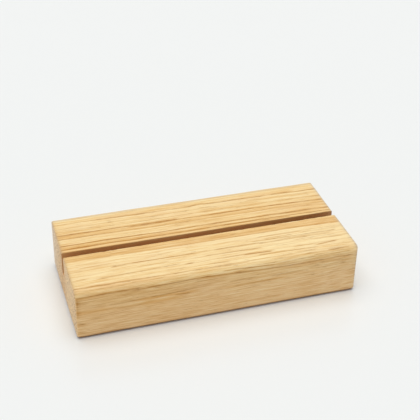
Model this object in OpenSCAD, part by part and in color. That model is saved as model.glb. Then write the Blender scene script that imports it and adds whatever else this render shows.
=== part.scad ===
// Place card holder: one block of hardwood with a saw cut along its top that a card stands in.
// Millimetres. +X runs along the block, with the grain and the slot. -Y is the front, with the
// rounded top edge, and +Z is up. The origin is in the middle of the underside.

/* [Block] */
// Length of the block, along the grain
block_length = 100; // [80:1:120]
// Depth of the block, from front to back
block_depth = 45; // [38:1:52]
// Height of the block, the thickness of the planed board
block_height = 19; // [16:0.5:22]

/* [Edges] */
// Radius of the long front top edge, which is rounded over
front_edge_r = 2.6; // [1.5:0.1:3.5]
// Radius of the long back top edge
back_edge_r = 0.5; // [0.3:0.1:1]
// Radius of the top edges across the two ends
end_edge_r = 0.5; // [0.3:0.1:1]
// Radius of the four edges round the underside
base_edge_r = 1.4; // [0.5:0.1:2]
// Radius of the four upright corners
corner_r = 0.8; // [0.4:0.1:1.2]

/* [Card slot] */
// Width of the slot, one pass of the saw blade
slot_width = 2.8; // [2:0.1:4]
// Depth of the slot below the top
slot_depth = 8; // [5:0.5:11]
// Radius of the two edges along the mouth of the slot
slot_lip_r = 0.2; // [0.1:0.05:0.5]

/* [Hidden] */
// How far each cut runs out past the wood
overrun = 2;
// Pale ash, sanded and left without a finish
wood_colour = "#EBCB92";
$fn = 96;

// What a router takes off one square arris to leave a quarter round of radius r.
// The arris lies at the origin, and the wood fills the quarter where x and y are positive.
module arris_waste(r) {
    difference() {
        translate([-overrun, -overrun]) square(r + overrun);
        translate([r, r]) circle(r);
    }
}

// The same waste as a bar that runs out past both ends of an edge of the given length
module edge_cut(r, length) {
    linear_extrude(length + 2 * overrun, center = true) arris_waste(r);
}

// The block as it leaves the saw, square on every side
module sawn_block() {
    translate([-block_length / 2, -block_depth / 2, 0])
        cube([block_length, block_depth, block_height]);
}

// The four edges that run with the grain
module long_edge_cuts() {
    translate([0, -block_depth / 2, block_height])
        rotate([90, 0, 90]) mirror([0, 1]) edge_cut(front_edge_r, block_length);
    translate([0, block_depth / 2, block_height])
        rotate([90, 0, 90]) mirror([1, 0]) mirror([0, 1]) edge_cut(back_edge_r, block_length);
    for (side = [0, 1])
        mirror([0, side, 0]) translate([0, -block_depth / 2, 0])
            rotate([90, 0, 90]) edge_cut(base_edge_r, block_length);
}

// The edges across both ends, at the top and at the underside
module end_edge_cuts() {
    for (side = [0, 1]) mirror([side, 0, 0]) {
        translate([-block_length / 2, 0, block_height])
            rotate([90, 0, 0]) mirror([0, 1]) edge_cut(end_edge_r, block_depth);
        translate([-block_length / 2, 0, 0])
            rotate([90, 0, 0]) edge_cut(base_edge_r, block_depth);
    }
}

// The four upright corners
module corner_cuts() {
    for (side = [0, 1], face = [0, 1])
        mirror([side, 0, 0]) mirror([0, face, 0])
            translate([-block_length / 2, -block_depth / 2, block_height / 2])
                edge_cut(corner_r, block_height);
}

// The slot runs the whole length down the middle of the top, square to it and open at both ends.
// Its outline stands on the slot's floor, with the mouth at slot_depth.
module slot_outline() {
    translate([-slot_width / 2, 0]) square([slot_width, slot_depth + overrun]);
    for (wall = [0, 1]) mirror([wall, 0])
        translate([slot_width / 2, slot_depth]) mirror([0, 1]) arris_waste(slot_lip_r);
}

module card_slot() {
    translate([0, 0, block_height - slot_depth])
        rotate([90, 0, 90])
            linear_extrude(block_length + 2 * overrun, center = true) slot_outline();
}

module holder_block() {
    color(wood_colour)
        difference() {
            sawn_block();
            long_edge_cuts();
            end_edge_cuts();
            corner_cuts();
            card_slot();
        }
}

holder_block();
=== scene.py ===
import math

import bpy
import numpy as np
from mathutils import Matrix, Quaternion, Vector


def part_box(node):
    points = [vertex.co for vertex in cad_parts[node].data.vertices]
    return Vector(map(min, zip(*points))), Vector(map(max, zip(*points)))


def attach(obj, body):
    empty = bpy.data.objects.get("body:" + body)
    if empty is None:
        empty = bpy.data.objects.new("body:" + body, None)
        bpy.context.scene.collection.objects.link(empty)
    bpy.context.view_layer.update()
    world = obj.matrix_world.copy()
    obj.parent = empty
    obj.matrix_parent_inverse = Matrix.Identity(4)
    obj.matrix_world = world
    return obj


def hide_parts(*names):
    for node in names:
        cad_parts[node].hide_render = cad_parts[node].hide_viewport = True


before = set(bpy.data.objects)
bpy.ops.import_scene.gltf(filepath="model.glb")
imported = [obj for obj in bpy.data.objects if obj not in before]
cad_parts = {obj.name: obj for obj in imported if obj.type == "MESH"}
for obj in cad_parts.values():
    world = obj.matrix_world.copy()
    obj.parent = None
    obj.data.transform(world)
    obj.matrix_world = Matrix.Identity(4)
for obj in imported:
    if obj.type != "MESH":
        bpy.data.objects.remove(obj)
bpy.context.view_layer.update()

# The ash block
# The whole holder is one block sawn from an ash board about an inch thick. It is planed, its front
# top edge is rounded over, its other edges are eased less, and all of it is fine-sanded and left
# without varnish. One pass of a saw along the top leaves the slot that the card stands in.

# Lengths are in millimetres, and MM turns them into the metres of the scene.
MM = 0.001
low, high = (np.array(corner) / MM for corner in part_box("holder_block"))
left, front, base = low
right, back, top = high
slot_half = 1.4
slot_depth = 8
slot_floor = top - slot_depth
front_edge_r, back_edge_r, end_edge_r = 2.6, 0.5, 0.5
base_edge_r, corner_r, lip_r = 1.4, 0.8, 0.2
chip_size = 0.3
mouth_depth = 0.8
mouth_half = slot_half + mouth_depth


def grid_lines(*stretches):
    """Places of the mesh's lines along one axis, from stretches of (start, end, spacing)"""
    lines = [np.linspace(start, end, round((end - start) / spacing) + 1)
             for start, end, spacing in stretches]
    return np.unique(np.concatenate(lines).round(4))


# The mesh also carries the figure of the wood, which is long along the grain and fine across it.
# So its lines are close together across the grain, and closest at the edges and the slot's mouth.
# These are the distances from each face within which they are closer.
fine_end, fine_front, fine_back, fine_base, fine_top = 1, 12, 1, 1.6, 6
x_lines = grid_lines(
    (left, left + fine_end, 0.2), (left + fine_end, right - fine_end, 1.2),
    (right - fine_end, right, 0.2))
y_lines = grid_lines(
    (front, front + fine_front, 0.2), (front + fine_front, -mouth_half, 0.25),
    (-mouth_half, -slot_half, 0.1), (-slot_half, slot_half, 0.35), (slot_half, mouth_half, 0.1),
    (mouth_half, back - fine_back, 0.27), (back - fine_back, back, 0.125))
z_lines = grid_lines(
    (base, base + fine_base, 0.2), (base + fine_base, slot_floor, 0.4),
    (slot_floor, top - fine_top, 0.3), (top - fine_top, top - mouth_depth, 0.17),
    (top - mouth_depth, top, 0.1))

# The block is a grid of cells with the slot's cells left out, and its skin is each side of a
# filled cell that has no filled neighbour.
middle_y = (y_lines[1:] + y_lines[:-1]) / 2
middle_z = (z_lines[1:] + z_lines[:-1]) / 2
in_slot = (abs(middle_y)[:, None] < slot_half) & (middle_z[None, :] > slot_floor)
filled = np.zeros([len(lines) + 1 for lines in (x_lines, y_lines, z_lines)], bool)
filled[1:-1, 1:-1, 1:-1] = ~in_slot
quads = []
for axis in range(3):
    across, up = (axis + 1) % 3, (axis + 2) % 3
    before = filled.take(range(filled.shape[axis] - 1), axis)
    after = filled.take(range(1, filled.shape[axis]), axis)
    for skin, order in ((before & ~after, 1), (after & ~before, -1)):
        cells = np.argwhere(skin)
        cells[:, across] -= 1
        cells[:, up] -= 1
        corners = np.repeat(cells[:, None], 4, axis=1)
        corners[:, 1:3, across] += 1
        corners[:, 2:4, up] += 1
        quads.append(corners[:, ::order])
quads = np.concatenate(quads)
sizes = [len(x_lines), len(y_lines), len(z_lines)]
used, faces = np.unique(np.ravel_multi_index(quads.reshape(-1, 3).T, sizes), return_inverse=True)
x_place, y_place, z_place = np.unravel_index(used, sizes)
points = np.stack([x_lines[x_place], y_lines[y_place], z_lines[z_place]], axis=1)

# These stay the places on the square block, which the figure of the wood is laid out by.
x, y, z = points.copy().T


def wave(along, *terms):
    """A slow wander: the sum of sines, each given as (height, wavelength, phase)"""
    return sum(height * np.sin(math.tau * along / length + phase) for height, length, phase in terms)


rounding_error = 1e-6


def ease(face_a, face_b, radius):
    """Rounds the edge where two faces meet, each given by its axis, its place and its outward side"""
    axis_a, place_a, side_a = face_a
    axis_b, place_b, side_b = face_b
    limit = radius + rounding_error
    a = (points[:, axis_a] - place_a) * side_a + radius
    b = (points[:, axis_b] - place_b) * side_b + radius
    near = (a > 0) & (b > 0) & (a <= limit) & (b <= limit)
    shrink = np.maximum(a, b)[near] / np.hypot(a, b)[near]
    points[near, axis_a] += side_a * a[near] * (shrink - 1)
    points[near, axis_b] += side_b * b[near] * (shrink - 1)


left_end, right_end = (0, left, -1), (0, right, 1)
front_face, back_face = (1, front, -1), (1, back, 1)
underside, top_face = (2, base, -1), (2, top, 1)

# The edges are eased by hand on a sander, so each radius wanders a little along its edge, and the
# rounded one widens a little to the right. A face's side also sets where a wander starts, so that
# like edges differ.
widening = 0.004
ease(front_face, top_face, front_edge_r + widening * x + wave(x, (0.1, 61, 0.4), (0.05, 23, 2)))
ease(back_face, top_face, back_edge_r + wave(x, (0.06, 47, 1), (0.04, 17, 0)))
for face in (front_face, back_face):
    side = face[2]
    ease(face, underside, base_edge_r + wave(x, (0.08, 53, side), (0.04, 19, 1)))

# The saw leaves the mouth of the slot ragged: mostly a fine arris, with small chips here and there.
rng = np.random.default_rng(7)
rarity = 6
for wall in (-1, 1):
    chips = np.interp(x, x_lines, rng.random(len(x_lines)) ** rarity)
    ease((1, wall * slot_half, -wall), top_face, lip_r + chip_size * chips)

# Last come the edges round the two ends: the top one, the lower one and the two upright corners.
for end in (left_end, right_end):
    side = end[2]
    ease(end, top_face, end_edge_r + wave(y, (0.08, 31, side), (0.04, 11, 2)))
    ease(end, underside, base_edge_r + wave(y, (0.08, 37, side)))
    for face in (front_face, back_face):
        ease(end, face, corner_r + wave(z, (0.08, 29, side + face[2])))

mesh = bpy.data.meshes.new("ash_block")
mesh.from_pydata(points * MM, [], faces.reshape(-1, 4))
mesh.polygons.foreach_set("use_smooth", np.ones(len(mesh.polygons), bool))
mesh.set_sharp_from_angle(angle=math.radians(50))
ash_block = bpy.data.objects.new("ash_block", mesh)
bpy.context.collection.objects.link(ash_block)


def hump(place, middle, width):
    """A smooth hump: 1 where the place is at its middle, and about a third a width away from it"""
    return np.exp(-((place - middle) / width) ** 2)


# The growth rings stand nearly upright in the block, so they cut the top as close straight lines
# and lie almost flat on the front. Each bows forward, furthest at the height of its crown, and all
# of them bend back a little towards the right.
inward = back - y
depth = top - z
along = (x - left) / (right - left)
ring_bow = 1 / 120
ring_crown = 12.7
ring_bend = 0.5 * hump(x, 25, 16)
from_back = inward + ring_bow * (z - ring_crown) ** 2 + ring_bend + wave(x, (0.1, 37, 1))

# Each row is the line where one ring ends: its distance from the back edge, how strongly its pores
# show, and how much honey colour the wood behind the line has, each given at the left end and then
# at the right end.
rings = (
    (-2.0, -1.5, 0.3, 0.3, 0.4, 0.4),
    (4.0, 5.7, 0.5, 0.8, 0.4, 0.4),
    (6.8, 7.8, 0.3, 0.3, 0.3, 0.3),
    (8.9, 10.1, 0.3, 0.4, 0.4, 0.15),
    (10.9, 13.1, 0.9, 0.8, 0.55, 0.45),
    (13.5, 15.0, 0.5, 0.2, 0.9, 0.75),
    (15.4, 16.1, 0.1, 0.2, 0.45, 0.6),
    (17.5, 18.7, 0.9, 0.9, 0.4, 0.5),
    (19.6, 20.5, 0.9, 0.7, 1, 0.55),
    (23.9, 24.3, 0, 0, 1, 0.9),
    (27.6, 29.0, 0.2, 0.4, 1, 1),
    (30.4, 31.1, 0, 0.3, 0.05, 0),
    (33.5, 34.3, 0.2, 0.2, 0.2, 0.05),
    (36.3, 37.0, 0.1, 0.3, 0.3, 0.05),
    (38.9, 39.7, 0.2, 0.2, 0.3, 0.1),
    (41.1, 41.7, 0.1, 0.2, 0.35, 0.1),
    (42.8, 43.9, 0.8, 0.2, 0.35, 0.1),
    (44.2, 44.8, 0.2, 0.2, 0.7, 0.2),
    (48.5, 49.0, 0.3, 0.3, 0.95, 0.65),
    (51.5, 52.0, 0.3, 0.3, 0.5, 0.5))
ring_left, ring_right, pores_left, pores_right, honey_left, honey_right = np.array(rings).T

# A point's ring number is the number of the line behind it, plus its share of the way to the next
# line. The pores' strength passes smoothly from line to line, and the honey is even between two.
# The ring's width turns that share into millimetres.
ring_number = np.zeros(len(x))
for n in range(len(rings) - 1):
    start = ring_left[n] + (ring_right[n] - ring_left[n]) * along
    end = ring_left[n + 1] + (ring_right[n + 1] - ring_left[n + 1]) * along
    inside = (from_back >= start) & (from_back < end)
    ring_number[inside] = n + ((from_back - start) / (end - start))[inside]
counts = np.arange(len(rings))
pore_line = (np.interp(ring_number, counts, pores_left) * (1 - along)
             + np.interp(ring_number, counts, pores_right) * along)
both_sides = np.repeat(counts, 2)[1:-1]
honey_with_highlight = (np.interp(ring_number, both_sides, np.repeat(honey_left[1:], 2)) * (1 - along)
         + np.interp(ring_number, both_sides, np.repeat(honey_right[1:], 2)) * along)
ring_middles = (ring_left + ring_right) / 2
ring_width = np.interp(ring_number, counts[:-1] + 0.5, np.diff(ring_middles))

# The honey is made weaker on the rounded edge and on a patch at the top of it, which paints a
# highlight there. It is also weaker on a second patch of the top, paler than any ring, and stronger
# on the front just below the rounded edge.
rounding_highlight = (y < front + front_edge_r) * hump(depth, 0.7, 0.8)
honey_with_highlight -= rounding_highlight * np.interp(x, (-30, 10, 25), (0.15, 0.4, 0.15))
honey_with_highlight -= 0.4 * hump(x, 13, 7) * hump(inward, 43.3, 1.5)
honey_with_highlight = np.maximum(honey_with_highlight, 0)
honey_with_highlight -= 0.25 * hump(x, 33, 15) * hump(inward, 35, 4.5)
below_rounding = (y < front + 1) * hump(depth, 4.5, 2.2)
honey_with_highlight += below_rounding * np.interp(x, (-30, 0, 40), (0.28, 0.22, 0))

# Where the saw met a bundle of large pores, a darker streak shows. Each row is where the streak
# starts and ends along the block, its place at these two ends, its half width, and how dark it is.
# The place is the distance from the back edge on the top, and the depth below the top on the front.
top_streaks = (
    (-24, -6, 11.3, 11.3, 0.6, 0.85), (-50, -24, 10.6, 11.0, 0.25, 0.6), (4, 26, 9.4, 9.8, 0.5, 0.25),
    (-20, -10, 7.2, 7.4, 0.2, 0.5), (-48, -36, 6.6, 6.9, 0.2, 0.35), (-46, -34, 7.9, 8.1, 0.2, 0.3),
    (-16, -10, 8.6, 8.8, 0.2, 0.35), (3, 8, 6.2, 6.3, 0.25, 0.6), (22, 28, 6.2, 6.5, 0.25, 0.5),
    (36, 47, 6.3, 6.8, 0.2, 0.5), (4, 26, 7.6, 7.8, 0.2, 0.45), (38, 46, 8.0, 8.3, 0.2, 0.35),
    (33, 50, 9.6, 10.4, 0.25, 0.4), (5, 30, 4.2, 4.6, 0.3, 0.7), (34, 41, 4.2, 4.1, 0.2, 0.5),
    (-32, -18, 3.8, 4.0, 0.25, 0.8), (5, 20, 11.8, 11.7, 0.3, 0.8), (16, 36, 11.7, 11.8, 0.3, 0.7),
    (34, 50, 11.8, 12.8, 0.35, 0.9), (-8, 16, 17.5, 17.5, 0.3, 0.6), (28, 42, 17.9, 18.1, 0.35, 0.9),
    (42, 50, 18.1, 18.0, 0.3, 0.6), (-8, 4, 14.3, 14.2, 0.25, 0.5), (-8, 2, 15.4, 15.3, 0.2, 0.35),
    (28, 46, 14.0, 15.0, 0.2, 0.3), (5, 22, 19.2, 19.6, 0.25, 0.7), (22, 34, 20.2, 20.4, 0.25, 0.6),
    (-24, -14, 19.7, 19.7, 0.3, 0.9), (-34, 18, 25.8, 26.0, 0.25, 0.3), (-42, -34, 27.3, 27.3, 0.2, 0.7),
    (4, 34, 27.8, 27.9, 0.2, 0.6), (18, 34, 30.3, 30.4, 0.25, 0.6), (-48, -38, 29.6, 29.9, 0.2, 0.3),
    (-22, -17, 29.4, 29.4, 0.2, 0.4), (-23, -13, 31.6, 30.6, 0.2, 0.35), (-46, -35, 31.8, 31.8, 0.25, 0.3),
    (15, 46, 32.3, 33.0, 0.25, 0.65), (-35, -29, 33.7, 33.3, 0.2, 0.9), (-29, -6, 33.3, 33.5, 0.25, 0.9),
    (1, 17, 33.4, 33.6, 0.4, 0.7), (17, 44, 34.0, 34.2, 0.25, 0.65), (-3, 17, 36.1, 36.5, 0.25, 0.7),
    (36, 48, 36.6, 37.0, 0.2, 0.6), (-41, -28, 39.0, 38.6, 0.25, 0.6), (-28, -13, 38.6, 38.1, 0.25, 0.6),
    (-11, -8, 38.9, 38.7, 0.3, 0.8), (2, 11, 39.0, 38.8, 0.3, 0.5), (10, 20, 38.9, 39.5, 0.3, 1),
    (28, 36, 39.1, 39.3, 0.25, 0.6), (36, 44, 40.0, 39.4, 0.3, 0.9), (15, 36, 40.5, 41.3, 0.25, 0.7),
    (-4, 4, 41.0, 41.2, 0.25, 0.7), (-26, -16, 35.9, 35.6, 0.2, 0.4), (-49, -44, 38.2, 38.1, 0.25, 0.5),
    (24, 44, 33.4, 33.6, 0.2, 0.45), (-18, -11, 40.4, 40.7, 0.25, 0.4), (-50, -11, 42.7, 43.0, 0.3, 0.6),
    (-4, 10, 43.1, 43.3, 0.25, 0.5), (-46, -20, 44.5, 43.9, 0.25, 0.4), (30, 33, 44.1, 44.0, 0.25, 0.6),
    (39, 47, 44.0, 43.8, 0.25, 0.8), (14, 21, 44.6, 44.8, 0.2, 0.6), (22, 28, 44.3, 44.5, 0.2, 0.6),
    (33, 39, 44.7, 44.6, 0.2, 0.7), (20, 27, 42.9, 43.1, 0.2, 0.5), (28, 35, 42.3, 42.5, 0.2, 0.5),
    (44, 49, 41.6, 41.9, 0.2, 0.6), (40, 47, 42.7, 42.6, 0.2, 0.4), (22, 30, 36.9, 37.2, 0.2, 0.35),
    (30, 45, 35.2, 35.4, 0.2, 0.55), (20, 30, 31.6, 31.7, 0.2, 0.5), (34, 48, 31.2, 31.6, 0.2, 0.5))
front_streaks = (
    (20, 27, 2.2, 2.3, 0.15, 0.4), (26, 34, 1.2, 1.0, 0.15, 0.5), (35, 48, 1.4, 1.2, 0.15, 0.6),
    (12, 20, 0.6, 0.9, 0.15, 0.5), (40, 49, 2.4, 2.2, 0.15, 0.2), (30, 38, 2.3, 2.2, 0.15, 0.15),
    (36, 44, 4.0, 4.1, 0.15, 0.5), (30, 36, 5.0, 5.1, 0.15, 0.4), (38, 46, 5.4, 5.6, 0.15, 0.5),
    (22, 29, 4.4, 4.5, 0.15, 0.3), (1, 19, 0.9, 1.8, 0.2, 0.8), (20, 36, 1.5, 1.2, 0.15, 0.5),
    (34, 48, 0.5, 0.3, 0.15, 0.5), (-20, -10, 1.0, 0.3, 0.2, 0.3), (-50, -28, 2.1, 1.9, 0.3, 0.75),
    (-30, -26, 2.3, 2.6, 0.4, 0.5), (-26, -4, 2.4, 2.0, 0.25, 0.75), (-8, 16, 2.1, 3.0, 0.25, 0.8),
    (16, 34, 3.0, 3.4, 0.25, 0.7), (28, 48, 3.3, 3.0, 0.2, 0.7), (-9, -2, 3.3, 3.5, 0.2, 0.4),
    (-34, -14, 4.1, 4.3, 0.2, 0.3), (32, 37, 4.2, 4.4, 0.15, 0.4), (43, 47, 4.6, 4.6, 0.15, 0.6),
    (32, 42, 5.4, 5.5, 0.15, 0.4), (34, 46, 6.2, 6.2, 0.2, 0.4), (-38, -25, 6.9, 6.5, 0.2, 0.7),
    (-25, -17, 6.5, 6.3, 0.3, 0.7), (-17, -8, 6.3, 5.7, 0.2, 0.7), (-16, -11, 7.3, 7.5, 0.3, 0.7),
    (3, 12, 5.8, 5.6, 0.2, 0.6), (18, 30, 6.1, 6.2, 0.2, 0.6), (5, 20, 8.0, 7.8, 0.25, 0.5),
    (-36, -24, 8.8, 8.6, 0.2, 0.4), (36, 46, 9.4, 9.2, 0.2, 0.3), (-28, -15, 14.2, 14.3, 0.2, 0.25),
    (-49.5, -47, 12.8, 13.0, 0.25, 1), (-49.2, -47.6, 16.2, 16.4, 0.25, 0.8),
    (-49.6, -48.9, 4.2, 4.2, 0.4, 0.8))
# On the front the saw also ran through the crown of one ring, which leaves golden patches.
gold_patches = (
    (-52, -38, 8.2, 8.4, 0.8, 0.7), (-40, -26, 8.8, 8.7, 0.5, 0.4), (-29, -14, 8.7, 8.5, 0.6, 0.8),
    (-29, -15, 7.0, 6.8, 0.4, 0.8), (-18, -8, 7.2, 7.0, 0.4, 0.7), (0, 24, 7.9, 7.8, 0.4, 0.5),
    (-52, -38, 2.6, 2.6, 0.5, 0.4), (-8, 4, 2.5, 2.7, 0.5, 0.4), (28, 48, 3.6, 3.6, 0.5, 0.35))
streak_taper = 1.5
patch_taper = 5


def painted(rows, place, taper):
    """The strongest mark at each point, of rows as above, whose two ends fade over a taper"""
    total = np.zeros(len(x))
    for start, end, place_start, place_end, half_width, strength in rows:
        middle = place_start + (place_end - place_start) * (x - start) / (end - start)
        ends = np.clip(np.minimum(x - start, end - x) / taper + 0.5, 0, 1)
        total = np.maximum(total, strength * ends * hump(place, middle, half_width))
    return total


# A mark goes on where the surface lies close to the face that the mark is measured on. A dark line
# also runs down the front, beside its left corner.
mark_depth = 0.6
on_top = z > top - mark_depth
on_front = y < front + mark_depth
front_corner = 0.5 * hump(x - left, 0.7, 0.4) * np.interp(depth, (2, 3.5, 8.5, 10.5), (0, 1, 1, 0))
front_marks = np.maximum(painted(front_streaks, depth, streak_taper), front_corner)
streaks = np.maximum(np.where(on_top & ~on_front, painted(top_streaks, inward, streak_taper), 0),
                     np.where(on_front, front_marks, 0))
gold = np.where(on_front, painted(gold_patches, depth, patch_taper), 0)

# The end grain shows where the surface turns towards an end, and a little way past the arrises. It
# is palest and greyest at the back of the block, and brownest by the slot.
normals = np.empty(len(points) * 3, np.float32)
mesh.vertex_normals.foreach_get("vector", normals)
facing_end, _, facing_up = abs(normals.reshape(-1, 3)).T
to_end = right - abs(x)
past_arris = 0.9 * hump(to_end, 0, np.where(x > 0, 0.6, 0.3))
end_grain = np.maximum(np.interp(facing_end, (0.5, 0.9), (0, 1)),
                       np.where((x > 0) | (z > top - 1), past_arris, 0))
rear_end = hump(from_back, 0, 9)
brown_end = 0.6 * hump(from_back, 21, 4.5)

# A painted highlight runs as a pale line behind the slot, which fades out to the right, and a painted
# contact shade darkens the edges round the underside brown, where they meet the table. The top arris
# of the left end is darker, painted shade darkens the slot's rim there, and the arrises of the right
# end and the back top edge are greyer.
painted_lip_highlight = 0.5 * hump(y - slot_half, 0.6, 0.3) * np.interp(x, (-30, 10), (1, 0)) * on_top
painted_contact_shade = np.interp(z - base, (0.7, 1.3), (1, 0)) * np.interp(facing_up, (0.9, 1), (1, 0))
near_end = hump(to_end, 0, 0.75) * np.interp(facing_end, (0.75, 0.95), (1, 0))
# Painted shade round the rim of the slot's notch in the left end
painted_notch_shade = 0.7 * hump(abs(y), slot_half, 0.6) * (z > slot_floor) * (x < left + 0.6)
left_arris_and_notch_shade = np.maximum(0.65 * near_end * on_top * (x < 0), painted_notch_shade)
greyed = np.maximum(0.6 * near_end * (x > 0) * np.where(on_top, 1, 0.5),
                    0.42 * hump(inward, 0.9, 0.6) * on_top)

# The long fibres show less on the front and back, which the saw cut along the rings, and the fine
# ones show most on the front. The front and back are a little rosy low down.
fibre_show = np.interp(y, (front, front + front_edge_r, back - 1, back), (0.12, 0.52, 0.52, 0.3))
fine_show = np.interp(y, (front, front + front_edge_r, back - 1, back), (0.7, 0.7, 0.5, 0.4))
rosy = (np.interp(depth, (1, 4, 10, 19), (0, 0.12, 0.26, 0.3))
        * np.interp(y, (front, front + 1, back - 1, back), (1, 0, 0, 1)))

# The slot's walls and floor are painted browner as shade, deepest towards the right. The slot is
# taken a hair too wide and too deep, so that the points on its walls and floor count, and it ends
# below its eased mouth.
hair = 0.01
slot_shade_rightward = np.interp(x, (0, 35), (0, 1))
sawn = (abs(y) <= slot_half + hair) & (z > slot_floor - hair) & (z < top - 0.15)

places = {
    "ring": ring_number, "ring_width": ring_width, "pore_line": pore_line, "honey_with_highlight": honey_with_highlight,
    "fibre_show": fibre_show, "fine_show": fine_show, "greyed": greyed, "streaks": streaks,
    "gold": gold, "end_grain": end_grain, "rear_end": rear_end, "brown_end": brown_end,
    "painted_lip_highlight": painted_lip_highlight, "painted_contact_shade": painted_contact_shade, "left_arris_and_notch_shade": left_arris_and_notch_shade, "rosy": rosy,
    "slot_shade_rightward": slot_shade_rightward, "sawn": sawn}
for name, values in places.items():
    mesh.attributes.new(name, "FLOAT", "POINT").data.foreach_set("value", values.astype(float))

# The patterns are laid out along the block, across its rings and up, so that they follow the rings.
across_rings = np.interp(ring_number, counts, ring_middles)
grain_places = np.stack([x, across_rings, z], axis=1)
mesh.attributes.new("grain", "FLOAT_VECTOR", "POINT").data.foreach_set("vector", grain_places.ravel())


def linear(colour):
    """An sRGB hex colour as the linear RGBA that Blender works in"""
    shares = [int(colour[i:i + 2], 16) / 255 for i in (1, 3, 5)]
    return [s / 12.92 if s <= 0.04045 else ((s + 0.055) / 1.055) ** 2.4 for s in shares] + [1]


def add(tree, kind, feeds=(), **settings):
    """Adds a node with its settings. Its feeds give a socket a value, a node or another socket."""
    made = tree.nodes.new("ShaderNode" + kind)
    for name, value in settings.items():
        setattr(made, name, value)
    sockets = {socket.identifier: socket for socket in made.inputs}
    for name, value in dict(feeds).items():
        if isinstance(value, bpy.types.Node):
            value = next(socket for socket in value.outputs if socket.enabled)
        if isinstance(value, bpy.types.NodeSocket):
            tree.links.new(value, sockets[name])
        else:
            sockets[name].default_value = value
    return made


# Fine-sanded ash: cream early in each ring and honey late in it, with dark lines of open pores
# between the rings, fine straight fibres and a soft sheen.
ash = bpy.data.materials.new("fine_sanded_ash")
ash.use_nodes = True
wood = ash.node_tree
wood.nodes.clear()
grain = add(wood, "Attribute", attribute_name="grain").outputs["Vector"]
at = {name: add(wood, "Attribute", attribute_name=name).outputs["Fac"] for name in places}

# Each texture is stretched along the grain: its length along it and its width across, in mm.
# The short pores have their real size. Real fibres are a few hundredths of a millimetre wide and
# pores on an end a quarter, too fine to show from here, so both are drawn coarser.
noise = {}
for name, length, width in (("fibres", 28, 0.38), ("fine_fibres", 9, 0.2), ("short_pores", 4, 0.28),
                            ("broken", 8, 1.2), ("bands", 70, 5), ("ragged", 9, 0.8),
                            ("blush", 26, 6), ("end_pores", 8, 0.5)):
    scaled = add(wood, "Mapping", {"Vector": grain, "Scale": (1 / length, 1 / width, 1 / width)})
    noise[name] = add(wood, "TexNoise", {"Vector": scaled, "Scale": 1, "Detail": 2, "Roughness": 0.6})

# The place in the ring, from 0 at its start to 1 at the next, with ragged lines between them
shift = add(wood, "MapRange", {"Value": noise["ragged"], "From Min": 0.25, "From Max": 0.75,
                               "To Min": -0.09, "To Max": 0.09})
ring_place = add(wood, "Math", {"Value": at["ring"], "Value_001": shift})
in_ring = add(wood, "Math", {"Value": ring_place}, operation="FRACT")
off_line = add(wood, "Math", {"Value": ring_place, "Value_001": 0.5}, operation="PINGPONG")
off_line_mm = add(wood, "Math", {"Value": off_line, "Value_001": at["ring_width"]},
                  operation="MULTIPLY")

# The dark lines between the rings and the streaks, a little paler in patches along them
on_line = add(wood, "MapRange", {"Value": off_line_mm, "From Min": 0.1, "From Max": 0.45,
                                 "To Min": 1, "To Max": 0})
line_strength = add(wood, "Math", {"Value": on_line, "Value_001": at["pore_line"]},
                    operation="MULTIPLY")
dark = add(wood, "Math", {"Value": line_strength, "Value_001": at["streaks"]}, operation="MAXIMUM")
patchy = add(wood, "MapRange", {"Value": noise["broken"], "From Min": 0.35, "From Max": 0.55,
                                "To Min": 0.65, "To Max": 1})
dark_line = add(wood, "Math", {"Value": dark, "Value_001": patchy}, operation="MULTIPLY")

# Single pores are dashes along the grain, most of them near the dark lines.
pore_limit = add(wood, "Math", {"Value": dark, "Value_001": -0.24, "Value_002": 0.66},
                 operation="MULTIPLY_ADD")
past_limit = add(wood, "Math", {"Value": noise["short_pores"], "Value_001": pore_limit},
                 operation="SUBTRACT")
pores = add(wood, "MapRange", {"Value": past_limit, "From Min": 0, "From Max": 0.1})

# Cream turns to honey late in each ring, in broad bands and along single fibres.
bands = add(wood, "MapRange", {"Value": noise["bands"], "From Min": 0.35, "From Max": 0.65,
                               "To Min": 0.14, "To Max": 0.3})
fibres = add(wood, "MapRange", {"Value": noise["fibres"], "From Min": 0.3, "From Max": 0.7,
                                "To Min": -1, "To Max": 1})
long_fibres = add(wood, "Math", {"Value": fibres, "Value_001": at["fibre_show"]},
                  operation="MULTIPLY")
fine_fibres = add(wood, "MapRange", {"Value": noise["fine_fibres"], "From Min": 0.3,
                                     "From Max": 0.7, "To Min": -1, "To Max": 1})
shown_fibres = add(wood, "Math", {"Value": fine_fibres, "Value_001": at["fine_show"],
                                  "Value_002": long_fibres}, operation="MULTIPLY_ADD")
late = add(wood, "Math", {"Value": in_ring, "Value_001": 0.5, "Value_002": 0.6},
           operation="MULTIPLY_ADD")
banded = add(wood, "Math", {"Value": late, "Value_001": at["honey_with_highlight"], "Value_002": bands},
             operation="MULTIPLY_ADD")
tone = add(wood, "Math", {"Value": banded, "Value_001": shown_fibres})
body = add(wood, "Mix", {"Factor_Float": tone, "A_Color": linear("#FDE6B0"),
                         "B_Color": linear("#EBC07A")}, data_type="RGBA")

# Over it lie a faint blush in wide patches, the rosy foot of the front and the golden patches.
blush = add(wood, "MapRange", {"Value": noise["blush"], "From Min": 0.5, "From Max": 0.7,
                               "To Min": 0, "To Max": 0.15})
with_blush = add(wood, "Mix", {"Factor_Float": blush, "A_Color": body,
                               "B_Color": linear("#E8BE94")}, data_type="RGBA")
with_rose = add(wood, "Mix", {"Factor_Float": at["rosy"], "A_Color": with_blush,
                              "B_Color": linear("#F2C49C")}, data_type="RGBA")
with_gold = add(wood, "Mix", {"Factor_Float": at["gold"], "A_Color": with_rose,
                              "B_Color": linear("#E3AA58")}, data_type="RGBA")

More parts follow.
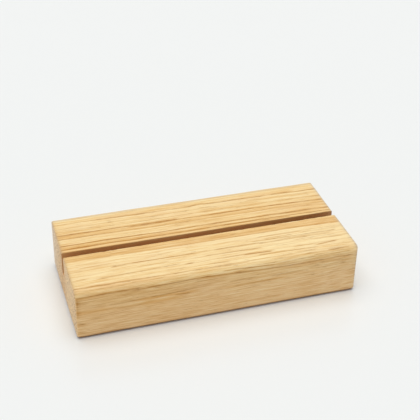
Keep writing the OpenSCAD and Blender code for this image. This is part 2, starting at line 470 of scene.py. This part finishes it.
# Past full honey the fibres go on darkening, towards the brown of the lines.
deep_fibres = add(wood, "MapRange", {"Value": tone, "From Min": 0.85, "From Max": 1.6,
                                     "To Min": 0, "To Max": 0.5})
line_share = add(wood, "Math", {"Value": deep_fibres, "Value_001": dark_line})
with_lines = add(wood, "Mix", {"Factor_Float": line_share, "A_Color": with_gold,
                               "B_Color": linear("#C08226")}, data_type="RGBA")
pore_share = add(wood, "Math", {"Value": pores, "Value_001": 0.55}, operation="MULTIPLY")
with_pores = add(wood, "Mix", {"Factor_Float": pore_share, "A_Color": with_lines,
                               "B_Color": linear("#AA681C")}, data_type="RGBA")
# A painted highlight: a pale line along the slot's rear lip
with_lip_highlight = add(wood, "Mix", {"Factor_Float": at["painted_lip_highlight"], "A_Color": with_pores,
                             "B_Color": linear("#FFDCA4")}, data_type="RGBA")

# On the ends the pores show as grey-brown dots in rows along the rings.
end_colour = add(wood, "Mix", {"Factor_Float": at["rear_end"], "A_Color": linear("#FFDCAA"),
                               "B_Color": linear("#F8E4CC")}, data_type="RGBA")
end_tone = add(wood, "Mix", {"Factor_Float": at["brown_end"], "A_Color": end_colour,
                             "B_Color": linear("#E4B47C")}, data_type="RGBA")
end_share = add(wood, "Math", {"Value": at["end_grain"], "Value_001": 0.8}, operation="MULTIPLY")
with_ends = add(wood, "Mix", {"Factor_Float": end_share, "A_Color": with_lip_highlight, "B_Color": end_tone},
                data_type="RGBA")
near_line = add(wood, "MapRange", {"Value": off_line_mm, "From Min": 0.15, "From Max": 0.7,
                                   "To Min": 0.92, "To Max": 0.4})
speckle = add(wood, "MapRange", {"Value": noise["end_pores"], "From Min": 0.48, "From Max": 0.58})
dots = add(wood, "Math", {"Value": near_line, "Value_001": speckle}, operation="MULTIPLY")
dot_share = add(wood, "Math", {"Value": dots, "Value_001": at["end_grain"]}, operation="MULTIPLY")
with_dots = add(wood, "Mix", {"Factor_Float": dot_share, "A_Color": with_ends,
                              "B_Color": linear("#8C5E36")}, data_type="RGBA")

# Last come the darker left arris with the painted shade of the slot's rim, the greyer arrises, the
# painted contact shade round the underside, and the browner walls of the slot, painted as shade.
# A darker top arris on the left end, and painted shade round the slot's rim there
with_left_darkening = add(wood, "Mix", {"Factor_Float": at["left_arris_and_notch_shade"], "A_Color": with_dots,
                                  "B_Color": linear("#C8A470")}, data_type="RGBA")
with_grey = add(wood, "Mix", {"Factor_Float": at["greyed"], "A_Color": with_left_darkening,
                              "B_Color": linear("#C4B69C")}, data_type="RGBA")
# The painted contact shade: a dark brown along the edges round the underside
contact_shade_share = add(wood, "Math", {"Value": at["painted_contact_shade"], "Value_001": 0.9}, operation="MULTIPLY")
with_contact_shade = add(wood, "Mix", {"Factor_Float": contact_shade_share, "A_Color": with_grey,
                                 "B_Color": linear("#86511A")}, data_type="RGBA")
# The slot's walls and floor are painted browner as shade, with faint saw marks across it
saw_marks = add(wood, "MapRange", {"Value": noise["ragged"], "From Min": 0.35, "From Max": 0.65,
                                   "To Min": 0.72, "To Max": 0.98})
slot_shade_share = add(wood, "Math", {"Value": at["sawn"], "Value_001": saw_marks}, operation="MULTIPLY")
slot_shade_colour = add(wood, "Mix", {"Factor_Float": at["slot_shade_rightward"], "A_Color": linear("#D0985F"),
                                "B_Color": linear("#BF8852")}, data_type="RGBA")
with_slot_shade = add(wood, "Mix", {"Factor_Float": slot_shade_share, "A_Color": with_contact_shade,
                              "B_Color": slot_shade_colour}, data_type="RGBA")

# Open pores and soft early wood lie a few hundredths of a millimetre below the hard late wood.
sunk = add(wood, "Math", {"Value": pores, "Value_001": -1, "Value_002": noise["fibres"]},
           operation="MULTIPLY_ADD")
relief = add(wood, "Bump", {"Height": sunk, "Distance": 0.05 * MM})
sheen = add(wood, "MapRange", {"Value": noise["broken"], "To Min": 0.5, "To Max": 0.72})
surface = add(wood, "BsdfPrincipled", {"Base Color": with_slot_shade, "Roughness": sheen,
                                       "Normal": relief, "IOR": 1.5})
add(wood, "OutputMaterial", {"Surface": surface})
mesh.materials.append(ash)

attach(ash_block, "root")
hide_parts("holder_block")

# The floor
# The block lies on a table top of white laminate, which reaches metres each way, so that no edge
# of it shows. Its satin face is pale enough to run into the room behind it.

reach = 5
floor_corners = [(-reach, -reach, 0), (reach, -reach, 0), (reach, reach, 0), (-reach, reach, 0)]
floor_mesh = bpy.data.meshes.new("floor")
floor_mesh.from_pydata(floor_corners, [], [(0, 1, 2, 3)])
floor = bpy.data.objects.new("floor", floor_mesh)
bpy.context.collection.objects.link(floor)

# Satin laminate: a near-white that keeps the block's soft shadow, with a faint reflection of it.
laminate = bpy.data.materials.new("satin_white_laminate")
laminate.use_nodes = True
laminate_surface = laminate.node_tree.nodes["Principled BSDF"].inputs
laminate_surface["Base Color"].default_value = linear("#F1F3F2")
laminate_surface["Roughness"].default_value = 0.25
laminate_surface["Specular IOR Level"].default_value = 0.5
floor_mesh.materials.append(laminate)

# The light
# One wide soft lamp hangs nearly overhead, a little to the left and behind the block, and the white
# room around it gives three quarters as much light again. Together they light a level white face
# fully, so that a colour renders about as it is written.

lamp_share = 0.57
room_share = 0.44


def direction(azimuth, elevation):
    """The way towards a place, in degrees: azimuth 0 is the front and 90 the right"""
    azimuth, elevation = math.radians(azimuth), math.radians(elevation)
    flat = math.cos(elevation)
    return Vector((math.sin(azimuth) * flat, -math.cos(azimuth) * flat, math.sin(elevation)))


# A sun lamp of strength pi lights a white face that is square to it fully.
lamp = bpy.data.lights.new("soft_lamp", "SUN")
lamp.energy = lamp_share * math.pi
lamp.angle = math.radians(60)
lamp_object = bpy.data.objects.new("soft_lamp", lamp)
bpy.context.collection.objects.link(lamp_object)
lamp_object.rotation_mode = "QUATERNION"
lamp_object.rotation_quaternion = direction(250, 85.5).to_track_quat("Z", "Y")

# What is seen of the room, directly, by reflection or through glass, is the floor's pale grey.
world = bpy.data.worlds.new("white_room")
bpy.context.scene.world = world
world.use_nodes = True
surroundings = world.node_tree
surroundings.nodes.clear()
rays = add(surroundings, "LightPath").outputs
glossy = add(surroundings, "Math", {"Value": rays["Is Camera Ray"], "Value_001": rays["Is Glossy Ray"]},
             operation="MAXIMUM")
seen = add(surroundings, "Math", {"Value": glossy, "Value_001": rays["Is Transmission Ray"]},
           operation="MAXIMUM")
room = add(surroundings, "Background", {"Color": linear("#FFFFFF"), "Strength": room_share})
backdrop = add(surroundings, "Background", {"Color": linear("#F6F6F5"), "Strength": 1})
shown = add(surroundings, "MixShader", {"Fac": seen, "Shader": room, "Shader_001": backdrop})
add(surroundings, "OutputWorld", {"Surface": shown})

# The camera
# It looks down on the block from the front and a little from the left, tilted by a degree, and is
# aimed past the back edge, so that the block lies below the middle of the picture.

picture_pixels = 420
focal_pixels = 1008
sensor = 36
distance = 366.4
aim_right, aim_up = 2.91, 24.21
roll = math.radians(0.986)
towards_camera = direction(-17.575, 32.61)
tilt = towards_camera.to_track_quat("Z", "Y") @ Quaternion((0, 0, 1), roll)
aim = tilt @ Vector((aim_right, aim_up, 0))
camera = bpy.data.cameras.new("camera")
camera.lens = sensor * focal_pixels / picture_pixels
camera.clip_start = 10 * MM
camera_object = bpy.data.objects.new("camera", camera)
bpy.context.collection.objects.link(camera_object)
camera_object.rotation_mode = "QUATERNION"
camera_object.rotation_quaternion = tilt
camera_object.location = (aim + distance * towards_camera) * MM
bpy.context.scene.camera = camera_object
bpy.context.scene.view_settings.view_transform = "Standard"
